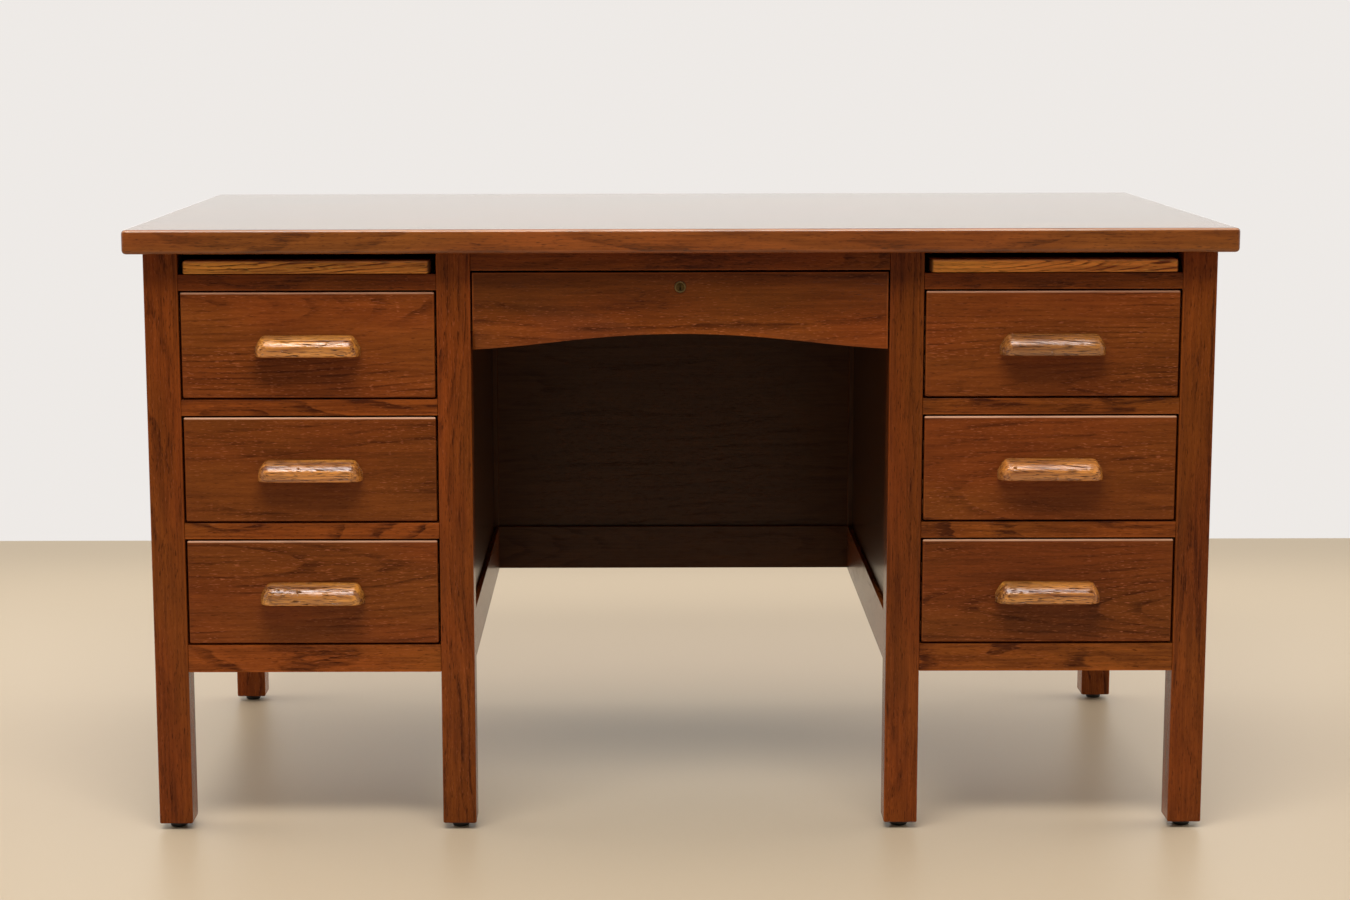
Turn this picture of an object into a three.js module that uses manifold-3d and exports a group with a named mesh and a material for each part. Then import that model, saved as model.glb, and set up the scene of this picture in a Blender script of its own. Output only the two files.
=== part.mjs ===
// Double-pedestal oak teacher desk, in millimetres, +Z up, the sitter's side facing -Y.
// The origin is on the floor, under the middle of the desktop.
import * as THREE from 'three';
import { mergeVertices } from 'three/addons/utils/BufferGeometryUtils.js';
import Module from 'manifold-3d';

// ---- driving dimensions ----------------------------------------------------------------

const TOP_WIDTH = 1372;
const TOP_DEPTH = 762;
const TOP_THICKNESS = 30;
const DESK_HEIGHT = 768;
const TOP_EDGE_RADIUS = 3.5;
const TOP_CORNER_RADIUS = 2;

const LEG = 42.5;
const LEG_EASE = 2.5;
const LEG_OUTER_FACE = 665;
const PEDESTAL_OPENING = 320;
const TOP_OVERHANG = 27.5;
const GLIDE_HEIGHT = 8;
const GLIDE_RADIUS = 11;
const GLIDE_RIM = 3;
const NAIL_RADIUS = 1.5;
const NAIL_LENGTH = 22;

const CARCASS_BOTTOM = 206.5;
const FACE_SETBACK = 1;
const RAIL = 20;
const BOTTOM_RAIL = 35;
const BOARD_SLOT = 27;
const DRAWER_FRONT_HEIGHT = 132;
const REVEAL = 2.25;

const FRAME_RAIL_HEIGHT = 64;
const FRAME_RAIL_THICKNESS = 20;
const FRAME_RECESS = 3;
const BACK_FRAME_RECESS = 2;
const BACK_STILE = 40;
const PANEL = 6;
const GROOVE = 8;
const TENON_LENGTH = 14;
const TENON_THICKNESS = 10;
const FRONT_TENON_SHOULDER = 3;
const FRAME_TENON_SHOULDER = 10;
const POST_DEPTH = 42;
const FIT = 0.3;

const SHELF_THICKNESS = 10;
const GUIDE_HEIGHT = 8;
const GUIDE_PLAY = 1.1;
const STOP_HEIGHT = 7;
const STOP_DEPTH = 12;
const STOP_WIDTH = 30;
const STOP_OFFSET = 80;

const FRONT_THICKNESS = 20;
const BOX_SIDE = 12;
const BOX_LENGTH = 560;
const BOX_HEIGHT = 112;
const BOX_BOTTOM = 5;
const BOX_BOTTOM_LIFT = 10;
const BOX_BACK_DROP = 6;
const RUNNING_CLEARANCE = 0.4;

const BOARD_WIDTH = 308;
const BOARD_LENGTH = 560;
const BOARD_THICKNESS = 16.5;
const BOARD_EDGE_RADIUS = 3;

const APRON_HEIGHT = 23;
const APRON_THICKNESS = 32;
const CENTRE_FRONT_BOTTOM = 617;
const CENTRE_ARCH_RISE = 19;
const CENTRE_BOX_LENGTH = 480;
const CENTRE_BOX_HALF_WIDTH = 254;
const CENTRE_BOX_HEIGHT = 55;
const RUNNER_TOP = 650;
const RUNNER_WIDTH = 30;
const RUNNER_HEIGHT = 14;

const PULL_LENGTH = 131;
const PULL_NOSE_LENGTH = 117;
const PULL_PROJECTION = 27.5;
const PULL_HEIGHT = 26.5;
const PULL_COVE = 11;
const PULL_LIFT = 1;

const LOCK_DROP = 18;
const PLUG_RADIUS = 7;
const PLUG_PROJECTION = 0.8;
const KEY_SLOT_HALF_WIDTH = 0.9;
const KEY_SLOT_HALF_HEIGHT = 4.5;
const KEY_SLOT_DEPTH = 5;
const BOLT_HALF_WIDTH = 10;
const BOLT_THICKNESS = 6;
const BOLT_LENGTH = 31;
const BOLT_SETBACK = 8.5;
const BOLT_DROP = 0.75;
const BOLT_TRAVEL = 8;
const CRANK_PIN_RADIUS = 1.2;
const STRIKE_DEPTH = 3;

// ---- levels and planes worked out from them --------------------------------------------

const TOP_UNDERSIDE = DESK_HEIGHT - TOP_THICKNESS;
const FRONT = -TOP_DEPTH / 2 + TOP_OVERHANG;
const REAR = -FRONT;
const FACE = FRONT + FACE_SETBACK;
const FRONT_LEG_BACK = FRONT + LEG;
const REAR_LEG_FRONT = REAR - LEG;
const BACK_FRAME = REAR_LEG_FRONT + BACK_FRAME_RECESS;
const DRAWER_BACK_FACE = FACE + FRONT_THICKNESS;

const PEDESTAL_CENTRE = LEG_OUTER_FACE - LEG - PEDESTAL_OPENING / 2;
const LEG_OFFSET = (PEDESTAL_OPENING + LEG) / 2;
const KNEEHOLE_HALF = PEDESTAL_CENTRE - PEDESTAL_OPENING / 2 - LEG;
const SIDE_RAIL_OUTER = PEDESTAL_OPENING / 2 + LEG - FRAME_RECESS;
const SIDE_RAIL_INNER = SIDE_RAIL_OUTER - FRAME_RAIL_THICKNESS;
const PANEL_OUTER = (SIDE_RAIL_OUTER + SIDE_RAIL_INNER + PANEL) / 2;
const PANEL_INNER = PANEL_OUTER - PANEL;
const FRAME_RAIL_TOP = CARCASS_BOTTOM + FRAME_RAIL_HEIGHT;
const DRAWER_WIDTH = PEDESTAL_OPENING - 2 * REVEAL;
const RAIL_A_TOP = TOP_UNDERSIDE - BOARD_SLOT;
const DRAWER_PITCH = DRAWER_FRONT_HEIGHT + 2 * REVEAL + RAIL;
const CENTRE_FRONT_TOP = TOP_UNDERSIDE - APRON_HEIGHT - REVEAL - 0.5;
const LOCK_HEIGHT = CENTRE_FRONT_TOP - LOCK_DROP;
const BOLT_FRONT = FACE + BOLT_SETBACK;
const BOLT_BACK = BOLT_FRONT + BOLT_THICKNESS;
const BOLT_TOP = CENTRE_FRONT_TOP - BOLT_DROP;

// Front rails from the top down: [name, top level, height].
const DIVIDERS = [
  ['board_rail', RAIL_A_TOP, RAIL],
  ['upper_rail', RAIL_A_TOP - DRAWER_PITCH, RAIL],
  ['lower_rail', RAIL_A_TOP - 2 * DRAWER_PITCH, RAIL],
  ['bottom_rail', RAIL_A_TOP - 3 * DRAWER_PITCH, BOTTOM_RAIL],
];
const DRAWER_NAMES = ['upper', 'middle', 'lower'];
const SIDES = [['left', -1], ['right', 1]];

// ---- finishes ---------------------------------------------------------------------------

const FINISHES = {
  varnished_oak: { color: 0x7a4018, roughness: 0.32, metalness: 0 },
  desktop_oak: { color: 0x84502a, roughness: 0.22, metalness: 0 },
  golden_oak: { color: 0xb27a45, roughness: 0.38, metalness: 0 },
  bare_wood: { color: 0xb08a5c, roughness: 0.65, metalness: 0 },
  aged_brass: { color: 0x6b5a34, roughness: 0.45, metalness: 1 },
  black_glide: { color: 0x141312, roughness: 0.5, metalness: 0 },
};

// ---- solid modelling helpers ------------------------------------------------------------

const wasm = await Module();
wasm.setup();

function toSolid(geometry) {
  const bare = geometry.clone();
  bare.deleteAttribute('normal');
  bare.deleteAttribute('uv');
  const merged = mergeVertices(bare, 1e-4);
  return new wasm.Manifold(new wasm.Mesh({
    numProp: 3,
    vertProperties: new Float32Array(merged.attributes.position.array),
    triVerts: new Uint32Array(merged.index.array),
  }));
}

function toGeometry(solid) {
  const mesh = solid.getMesh();
  const geometry = new THREE.BufferGeometry();
  geometry.setAttribute('position', new THREE.BufferAttribute(new Float32Array(mesh.vertProperties), 3));
  geometry.setIndex(new THREE.BufferAttribute(new Uint32Array(mesh.triVerts), 1));
  geometry.computeVertexNormals();
  return geometry;
}

// An axis-aligned block between two corners, whichever way round the corners are.
function block(x0, x1, y0, y1, z0, z1) {
  const geometry = new THREE.BoxGeometry(Math.abs(x1 - x0), Math.abs(y1 - y0), Math.abs(z1 - z0));
  geometry.translate((x0 + x1) / 2, (y0 + y1) / 2, (z0 + z1) / 2);
  return toSolid(geometry);
}

const join = (solids) => solids.reduce((whole, piece) => whole.add(piece));
const cut = (solid, tools) => tools.reduce((rest, tool) => rest.subtract(tool), solid);

// A flat outline of [across, up] points, pushed along X from x0 to x1: across is Y, up is Z.
function extrudeAlongX(shape, x0, x1) {
  const depth = x1 - x0;
  const geometry = new THREE.ExtrudeGeometry(shape, { depth, bevelEnabled: false, curveSegments: 8 });
  geometry.rotateX(Math.PI / 2);
  geometry.rotateZ(Math.PI / 2);
  geometry.translate(x0, 0, 0);
  return geometry;
}

// A flat outline of [x, z] points, pushed along Y from y0 to y1.
function extrudeAlongY(shape, y0, y1) {
  const depth = y1 - y0;
  const geometry = new THREE.ExtrudeGeometry(shape, { depth, bevelEnabled: false, curveSegments: 24 });
  geometry.rotateX(Math.PI / 2);
  geometry.translate(0, y1, 0);
  return geometry;
}

// A round bar along Y.
function rodAlongY(radius, x, y0, y1, z) {
  const geometry = new THREE.CylinderGeometry(radius, radius, y1 - y0, 32);
  geometry.translate(x, (y0 + y1) / 2, z);
  return geometry;
}

const desk = new THREE.Group();

function place(name, shape, finish, colourShift = 0) {
  const geometry = shape instanceof THREE.BufferGeometry ? shape : toGeometry(shape);
  const material = new THREE.MeshStandardMaterial(FINISHES[finish]);
  material.color.offsetHSL(0, 0, colourShift);
  const mesh = new THREE.Mesh(geometry, material);
  mesh.name = name;
  desk.add(mesh);
  return mesh;
}

// ---- desktop ------------------------------------------------------------------------------

function makeDesktop() {
  const halfWidth = TOP_WIDTH / 2 - TOP_EDGE_RADIUS;
  const halfDepth = TOP_DEPTH / 2 - TOP_EDGE_RADIUS;
  const corner = TOP_CORNER_RADIUS;
  const outline = new THREE.Shape();
  outline.moveTo(-halfWidth + corner, -halfDepth);
  outline.lineTo(halfWidth - corner, -halfDepth);
  outline.absarc(halfWidth - corner, -halfDepth + corner, corner, -Math.PI / 2, 0);
  outline.absarc(halfWidth - corner, halfDepth - corner, corner, 0, Math.PI / 2);
  outline.absarc(-halfWidth + corner, halfDepth - corner, corner, Math.PI / 2, Math.PI);
  outline.absarc(-halfWidth + corner, -halfDepth + corner, corner, Math.PI, 1.5 * Math.PI);
  const geometry = new THREE.ExtrudeGeometry(outline, {
    depth: TOP_THICKNESS - 2 * TOP_EDGE_RADIUS,
    bevelThickness: TOP_EDGE_RADIUS,
    bevelSize: TOP_EDGE_RADIUS,
    bevelSegments: 4,
    curveSegments: 4,
  });
  geometry.translate(0, 0, TOP_UNDERSIDE + TOP_EDGE_RADIUS);
  place('desktop', toSolid(geometry), 'desktop_oak');
}

// ---- legs and glides ----------------------------------------------------------------------

// The tenon of a front rail, drawn between the two legs of one pedestal; grow widens it to a mortise.
function frontTenons(centre, top, height, grow) {
  const reach = PEDESTAL_OPENING / 2 + TENON_LENGTH + grow;
  const middle = FACE + (LEG - FACE_SETBACK) / 2;
  const half = TENON_THICKNESS / 2 + grow;
  return block(centre - reach, centre + reach, middle - half, middle + half,
    top - height + FRONT_TENON_SHOULDER - grow, top - FRONT_TENON_SHOULDER + grow);
}

// The tenon at the end of a bottom rail that runs from front to back at distance x from the centre.
function sideTenons(x, grow) {
  const half = TENON_THICKNESS / 2 + grow;
  return block(x - half, x + half,
    FRONT_LEG_BACK - TENON_LENGTH - grow, REAR_LEG_FRONT + TENON_LENGTH + grow,
    CARCASS_BOTTOM + FRAME_TENON_SHOULDER - grow, FRAME_RAIL_TOP - GROOVE - FRONT_TENON_SHOULDER + grow);
}

function backTenons(grow) {
  const reach = LEG_OUTER_FACE - LEG + TENON_LENGTH + grow;
  const middle = BACK_FRAME + FRAME_RAIL_THICKNESS / 2;
  const half = TENON_THICKNESS / 2 + grow;
  return block(-reach, reach, middle - half, middle + half,
    CARCASS_BOTTOM + FRAME_TENON_SHOULDER - grow, FRAME_RAIL_TOP - FRAME_TENON_SHOULDER + grow);
}

function apronTenons(grow) {
  const reach = KNEEHOLE_HALF + TENON_LENGTH + grow;
  const middle = FACE + APRON_THICKNESS / 2;
  const half = TENON_THICKNESS / 2 + grow;
  return block(-reach, reach, middle - half, middle + half,
    TOP_UNDERSIDE - APRON_HEIGHT + FRONT_TENON_SHOULDER - grow, TOP_UNDERSIDE - FRONT_TENON_SHOULDER + grow);
}

// The groove that holds the edge of a side panel whose outer face is at distance x0 from the middle.
function panelGroove(x0, x1, y0, y1) {
  return block(x0 - FIT, x1 + FIT, y0, y1, FRAME_RAIL_TOP - GROOVE - FIT, TOP_UNDERSIDE + 1);
}

function legBlank(x, y) {
  const half = LEG / 2;
  const ease = LEG_EASE;
  const outline = new THREE.Shape();
  outline.moveTo(-half + ease, -half);
  outline.lineTo(half - ease, -half);
  outline.lineTo(half, -half + ease);
  outline.lineTo(half, half - ease);
  outline.lineTo(half - ease, half);
  outline.lineTo(-half + ease, half);
  outline.lineTo(-half, half - ease);
  outline.lineTo(-half, -half + ease);
  outline.closePath();
  const depth = TOP_UNDERSIDE - GLIDE_HEIGHT;
  const geometry = new THREE.ExtrudeGeometry(outline, { depth, bevelEnabled: false });
  geometry.translate(x, y, GLIDE_HEIGHT);
  return toSolid(geometry);
}

function nailHole(x, y) {
  const depth = NAIL_LENGTH + 1;
  const geometry = new THREE.CylinderGeometry(NAIL_RADIUS + FIT, NAIL_RADIUS + FIT, depth + 1, 12);
  geometry.rotateX(Math.PI / 2);
  geometry.translate(x, y, GLIDE_HEIGHT + depth / 2 - 0.5);
  return toSolid(geometry);
}

function makeGlide(name, x, y) {
  const rim = GLIDE_RIM;
  const profile = [new THREE.Vector2(0, 0), new THREE.Vector2(GLIDE_RADIUS - rim, 0)];
  for (let step = 1; step <= 3; step += 1) {
    const angle = (step / 3) * (Math.PI / 2);
    profile.push(new THREE.Vector2(GLIDE_RADIUS - rim + rim * Math.sin(angle), rim - rim * Math.cos(angle)));
  }
  profile.push(new THREE.Vector2(GLIDE_RADIUS, GLIDE_HEIGHT));
  profile.push(new THREE.Vector2(NAIL_RADIUS, GLIDE_HEIGHT));
  profile.push(new THREE.Vector2(NAIL_RADIUS, GLIDE_HEIGHT + NAIL_LENGTH - 4));
  profile.push(new THREE.Vector2(0, GLIDE_HEIGHT + NAIL_LENGTH));
  const geometry = new THREE.LatheGeometry(profile, 20);
  geometry.rotateX(Math.PI / 2);
  geometry.translate(x, y, 0);
  place(name, toSolid(geometry), 'black_glide');
}

function makeLegs() {
  for (const [side, sign] of SIDES) {
    const centre = sign * PEDESTAL_CENTRE;
    const rearY = REAR - LEG / 2;
    const frontY = FRONT + LEG / 2;
    const mortises = DIVIDERS.map(([, top, height]) => frontTenons(centre, top, height, FIT));

    const outerX = sign * (PEDESTAL_CENTRE + LEG_OFFSET);
    const railX = sign * (PEDESTAL_CENTRE + (SIDE_RAIL_OUTER + SIDE_RAIL_INNER) / 2);
    const grooveEdges = [sign * (PEDESTAL_CENTRE + PANEL_OUTER), sign * (PEDESTAL_CENTRE + PANEL_INNER)];
    const [grooveLow, grooveHigh] = grooveEdges.sort((a, b) => a - b);
    const endGroove = panelGroove(grooveLow, grooveHigh, FRONT_LEG_BACK - GROOVE - FIT, FRONT_LEG_BACK + 1);
    const rearGroove = panelGroove(grooveLow, grooveHigh, REAR_LEG_FRONT - 1, REAR_LEG_FRONT + GROOVE + FIT);

    place(`leg_front_outer_${side}`, cut(legBlank(outerX, frontY),
      [...mortises, sideTenons(railX, FIT), endGroove, nailHole(outerX, frontY)]), 'varnished_oak');
    place(`leg_rear_${side}`, cut(legBlank(outerX, rearY),
      [sideTenons(railX, FIT), backTenons(FIT), rearGroove, nailHole(outerX, rearY)]), 'varnished_oak');

    const innerX = sign * (PEDESTAL_CENTRE - LEG_OFFSET);
    const innerRailX = sign * (PEDESTAL_CENTRE - (SIDE_RAIL_OUTER + SIDE_RAIL_INNER) / 2);
    const innerEdges = [sign * (PEDESTAL_CENTRE - PANEL_OUTER), sign * (PEDESTAL_CENTRE - PANEL_INNER)];
    const [innerLow, innerHigh] = innerEdges.sort((a, b) => a - b);
    const innerGroove = panelGroove(innerLow, innerHigh, FRONT_LEG_BACK - GROOVE - FIT, FRONT_LEG_BACK + 1);
    place(`leg_front_inner_${side}`, cut(legBlank(innerX, frontY),
      [...mortises, sideTenons(innerRailX, FIT), apronTenons(FIT), innerGroove, nailHole(innerX, frontY)]),
    'varnished_oak');

    makeGlide(`glide_front_outer_${side}`, outerX, frontY);
    makeGlide(`glide_front_inner_${side}`, innerX, frontY);
    makeGlide(`glide_rear_${side}`, outerX, rearY);
  }
}

// ---- frame-and-panel ends, kneehole sides and back ---------------------------------------------

function makeSideFrames() {
  for (const [side, sign] of SIDES) {
    for (const [where, out] of [['end', 1], ['kneehole', -1]]) {
      const at = (offset) => sign * (PEDESTAL_CENTRE + out * offset);
      const rearEnd = where === 'end' ? REAR_LEG_FRONT : BACK_FRAME;
      const railMiddle = at((SIDE_RAIL_OUTER + SIDE_RAIL_INNER) / 2);
      const [grooveLow, grooveHigh] = [at(PANEL_OUTER), at(PANEL_INNER)].sort((a, b) => a - b);

      const railBody = block(at(SIDE_RAIL_OUTER), at(SIDE_RAIL_INNER), FRONT_LEG_BACK, rearEnd,
        CARCASS_BOTTOM, FRAME_RAIL_TOP);
      const reach = where === 'end' ? TENON_LENGTH + 1 : -1;
      const tenonWindow = block(at(SIDE_RAIL_OUTER), at(SIDE_RAIL_INNER),
        FRONT_LEG_BACK - TENON_LENGTH - 1, REAR_LEG_FRONT + reach, CARCASS_BOTTOM, FRAME_RAIL_TOP);
      const rail = railBody.add(sideTenons(railMiddle, 0).intersect(tenonWindow));
      place(`${where}_rail_${side}`, cut(rail, [
        block(grooveLow - FIT, grooveHigh + FIT, FRONT_LEG_BACK - 1, rearEnd + 1,
          FRAME_RAIL_TOP - GROOVE - FIT, FRAME_RAIL_TOP + 1),
      ]), 'varnished_oak');

      const panelRear = where === 'end' ? REAR_LEG_FRONT + GROOVE : BACK_FRAME;
      const panel = block(grooveLow, grooveHigh, FRONT_LEG_BACK - GROOVE, panelRear,
        FRAME_RAIL_TOP - GROOVE, TOP_UNDERSIDE);
      const topRail = block(at(SIDE_RAIL_OUTER), at(SIDE_RAIL_INNER), FRONT_LEG_BACK, REAR_LEG_FRONT,
        TOP_UNDERSIDE - FRAME_RAIL_HEIGHT, TOP_UNDERSIDE);
      place(`${where}_panel_${side}`, where === 'end' ? panel.add(topRail) : panel, 'varnished_oak', -0.03);
    }
  }
}

function makeBack() {
  const half = LEG_OUTER_FACE - LEG;
  const outer = BACK_FRAME + FRAME_RAIL_THICKNESS;
  const panelFront = BACK_FRAME + (FRAME_RAIL_THICKNESS - PANEL) / 2;
  const rail = block(-half, half, BACK_FRAME, outer, CARCASS_BOTTOM, FRAME_RAIL_TOP).add(backTenons(0));
  place('back_bottom_rail', cut(rail, [
    block(-half + 1, half - 1, panelFront - FIT, panelFront + PANEL + FIT,
      FRAME_RAIL_TOP - GROOVE - FIT, FRAME_RAIL_TOP + 1),
  ]), 'varnished_oak');

  const pieces = [
    block(-half + 2, half - 2, panelFront, panelFront + PANEL, FRAME_RAIL_TOP - GROOVE, TOP_UNDERSIDE),
    block(-half, half, BACK_FRAME, outer, TOP_UNDERSIDE - FRAME_RAIL_HEIGHT, TOP_UNDERSIDE),
  ];
  for (const [, sign] of SIDES) {
    const inner = sign * (KNEEHOLE_HALF + FRAME_RECESS);
    pieces.push(block(inner, inner + sign * BACK_STILE, BACK_FRAME, outer, FRAME_RAIL_TOP, TOP_UNDERSIDE));
  }
  place('back_panel', join(pieces), 'varnished_oak', -0.03);
}

// The upright that carries the rear ends of a pedestal's inner guides. grow widens it to its notch.
function rearPost(sign, grow) {
  const inner = sign * (PEDESTAL_CENTRE - SIDE_RAIL_INNER);
  const outer = sign * (PEDESTAL_CENTRE - PEDESTAL_OPENING / 2 + grow);
  return block(inner - sign * grow, outer, BACK_FRAME - POST_DEPTH - grow, BACK_FRAME + grow,
    CARCASS_BOTTOM - grow, TOP_UNDERSIDE + grow);
}

function makeRearPosts() {
  for (const [side, sign] of SIDES) {
    place(`rear_post_${side}`, rearPost(sign, 0), 'bare_wood');
  }
}

// ---- front rails, each with its runner shelf behind it ---------------------------------------------

function makeDividers() {
  for (const [side, sign] of SIDES) {
    const centre = sign * PEDESTAL_CENTRE;
    for (const [name, top, height] of DIVIDERS) {
      const half = PEDESTAL_OPENING / 2;
      const pieces = [
        block(centre - half, centre + half, FACE, FRONT_LEG_BACK, top - height, top),
        block(centre - SIDE_RAIL_INNER, centre + SIDE_RAIL_INNER, FRONT_LEG_BACK, REAR_LEG_FRONT,
          top - SHELF_THICKNESS, top),
        frontTenons(centre, top, height, 0),
      ];
      for (const hand of [-1, 1]) {
        const guideEdge = centre + hand * (DRAWER_WIDTH / 2 + GUIDE_PLAY);
        pieces.push(block(guideEdge, centre + hand * SIDE_RAIL_INNER,
          FRONT_LEG_BACK, REAR_LEG_FRONT, top - 1, top + GUIDE_HEIGHT));
        if (name === 'board_rail') continue;
        const stopX = centre + hand * STOP_OFFSET;
        pieces.push(block(stopX - STOP_WIDTH / 2, stopX + STOP_WIDTH / 2, DRAWER_BACK_FACE + FIT,
          DRAWER_BACK_FACE + FIT + STOP_DEPTH, top - 1, top + STOP_HEIGHT));
      }
      if (name === 'board_rail') {
        const stopY = FACE + BOARD_LENGTH + FIT;
        pieces.push(block(centre - half, centre + half, stopY, stopY + STOP_DEPTH,
          top - 1, top + STOP_HEIGHT));
      }
      place(`${name}_${side}`, cut(join(pieces), [rearPost(sign, FIT)]), 'varnished_oak', 0.01);
    }
  }
}

// ---- writing boards ----------------------------------------------------------------------------------

function makeWritingBoards() {
  const low = RAIL_A_TOP + FIT;
  const high = low + BOARD_THICKNESS;
  const ease = BOARD_EDGE_RADIUS;
  const rear = FACE + BOARD_LENGTH;
  const outline = new THREE.Shape();
  outline.moveTo(rear, low);
  outline.lineTo(rear, high);
  outline.lineTo(FACE + ease, high);
  outline.absarc(FACE + ease, high - ease, ease, Math.PI / 2, Math.PI);
  outline.absarc(FACE + ease, low + ease, ease, Math.PI, 1.5 * Math.PI);
  outline.closePath();
  for (const [side, sign] of SIDES) {
    const centre = sign * PEDESTAL_CENTRE;
    const board = extrudeAlongX(outline, centre - BOARD_WIDTH / 2, centre + BOARD_WIDTH / 2);
    place(`writing_board_${side}`, toSolid(board), 'golden_oak');
  }
}

// ---- pedestal drawers -----------------------------------------------------------------------------------

// An open tray: two sides, a back and a raised bottom; the drawer front closes its open end.
function drawerTray(centre, halfWidth, length, low, height) {
  const front = DRAWER_BACK_FACE;
  const rear = front + length;
  const bottom = low + BOX_BOTTOM_LIFT;
  const overlap = BOX_SIDE / 2;
  return join([
    block(centre - halfWidth, centre - halfWidth + BOX_SIDE, front, rear, low, low + height),
    block(centre + halfWidth - BOX_SIDE, centre + halfWidth, front, rear, low, low + height),
    block(centre - halfWidth + overlap, centre + halfWidth - overlap, rear - BOX_SIDE, rear,
      bottom, low + height - BOX_BACK_DROP),
    block(centre - halfWidth + overlap, centre + halfWidth - overlap, front, rear,
      bottom, bottom + BOX_BOTTOM),
  ]);
}

// Side view of the bar pull: it slopes down from the drawer face to a blunt rounded nose,
// and its underside is hollowed for the fingers.
function pullProfile(face, middle) {
  const top = middle + PULL_HEIGHT / 2;
  const low = middle - PULL_HEIGHT / 2;
  const nose = face - PULL_PROJECTION;
  const outline = new THREE.Shape();
  outline.moveTo(face, top - 1);
  outline.quadraticCurveTo(face - 10, top + 0.5, nose + 5, top - 7.5);
  outline.quadraticCurveTo(nose, top - 10, nose, top - 14);
  outline.lineTo(nose + 0.5, low + 4);
  outline.quadraticCurveTo(nose + 1, low, nose + 4, low);
  outline.quadraticCurveTo(nose + 7.5, low, nose + 8.5, low + 4);
  outline.quadraticCurveTo(nose + 10, low + PULL_COVE, nose + 14, low + PULL_COVE);
  outline.quadraticCurveTo(face - 5, low + PULL_COVE, face - 3, low + 4);
  outline.lineTo(face, low + 3);
  outline.closePath();
  return outline;
}

function pullPlan(face, centre) {
  const base = PULL_LENGTH / 2;
  const nose = PULL_NOSE_LENGTH / 2;
  const front = face - PULL_PROJECTION;
  const round = 7;
  const outline = new THREE.Shape();
  outline.moveTo(centre - base, face);
  outline.quadraticCurveTo(centre - nose - 3, face - 5, centre - nose, front + round);
  outline.quadraticCurveTo(centre - nose, front, centre - nose + round, front);
  outline.lineTo(centre + nose - round, front);
  outline.quadraticCurveTo(centre + nose, front, centre + nose, front + round);
  outline.quadraticCurveTo(centre + nose + 3, face - 5, centre + base, face);
  outline.closePath();
  return outline;
}

function pull(centre, face, middle) {
  const profile = pullProfile(face, middle);
  const bar = toSolid(extrudeAlongX(profile, centre - PULL_LENGTH, centre + PULL_LENGTH));
  const plan = new THREE.ExtrudeGeometry(pullPlan(face, centre), {
    depth: 2 * PULL_HEIGHT, bevelEnabled: false, curveSegments: 6,
  });
  plan.translate(0, 0, middle - PULL_HEIGHT);
  return bar.intersect(toSolid(plan));
}

function makePedestalDrawers() {
  for (const [side, sign] of SIDES) {
    const centre = sign * PEDESTAL_CENTRE;
    DRAWER_NAMES.forEach((level, index) => {
      const railTop = DIVIDERS[index + 1][1];
      const low = railTop + REVEAL;
      const high = low + DRAWER_FRONT_HEIGHT;
      const half = DRAWER_WIDTH / 2;
      const shift = 0.012 * ((index + (sign > 0 ? 1 : 0)) % 2);
      const board = block(centre - half, centre + half, FACE, DRAWER_BACK_FACE, low, high);
      place(`drawer_front_${level}_${side}`, board, 'varnished_oak', shift);
      place(`drawer_box_${level}_${side}`,
        drawerTray(centre, half, BOX_LENGTH, railTop + RUNNING_CLEARANCE, BOX_HEIGHT), 'bare_wood');
      place(`drawer_pull_${level}_${side}`, pull(centre, FACE, (low + high) / 2 + PULL_LIFT), 'golden_oak');
    });
  }
}

// ---- kneehole: apron, centre drawer, its runners and its lock ----------------------------------------

function makeApron() {
  const body = block(-KNEEHOLE_HALF, KNEEHOLE_HALF, FACE, FACE + APRON_THICKNESS,
    TOP_UNDERSIDE - APRON_HEIGHT, TOP_UNDERSIDE);
  const strike = block(-BOLT_HALF_WIDTH - 1, BOLT_HALF_WIDTH + 1, BOLT_FRONT - 1, BOLT_BACK + 1,
    TOP_UNDERSIDE - APRON_HEIGHT - 1, BOLT_TOP + BOLT_TRAVEL + STRIKE_DEPTH);
  place('apron', cut(body.add(apronTenons(0)), [strike]), 'varnished_oak');
}

function centreFrontOutline() {
  const half = KNEEHOLE_HALF - REVEAL;
  const low = CENTRE_FRONT_BOTTOM;
  const crown = low + CENTRE_ARCH_RISE;
  const outline = new THREE.Shape();
  outline.moveTo(-half, CENTRE_FRONT_TOP);
  outline.lineTo(-half, low);
  outline.bezierCurveTo(-0.68 * half, low + 4, -0.42 * half, crown, 0, crown);
  outline.bezierCurveTo(0.42 * half, crown, 0.68 * half, low + 4, half, low);
  outline.lineTo(half, CENTRE_FRONT_TOP);
  outline.closePath();
  return outline;
}

function makeCentreDrawer() {
  const front = toSolid(extrudeAlongY(centreFrontOutline(), FACE, DRAWER_BACK_FACE));
  const plugHole = toSolid(rodAlongY(PLUG_RADIUS + FIT, 0, FACE - 5, BOLT_FRONT, LOCK_HEIGHT));
  const boltMortise = block(-BOLT_HALF_WIDTH - FIT, BOLT_HALF_WIDTH + FIT, BOLT_FRONT - FIT, BOLT_BACK + FIT,
    BOLT_TOP - BOLT_LENGTH - FIT, CENTRE_FRONT_TOP + 1);
  place('centre_drawer_front', cut(front, [plugHole, boltMortise]), 'varnished_oak', -0.02);
  place('centre_drawer_box',
    drawerTray(0, CENTRE_BOX_HALF_WIDTH, CENTRE_BOX_LENGTH,
      RUNNER_TOP + RUNNING_CLEARANCE, CENTRE_BOX_HEIGHT), 'bare_wood');
}

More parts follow.
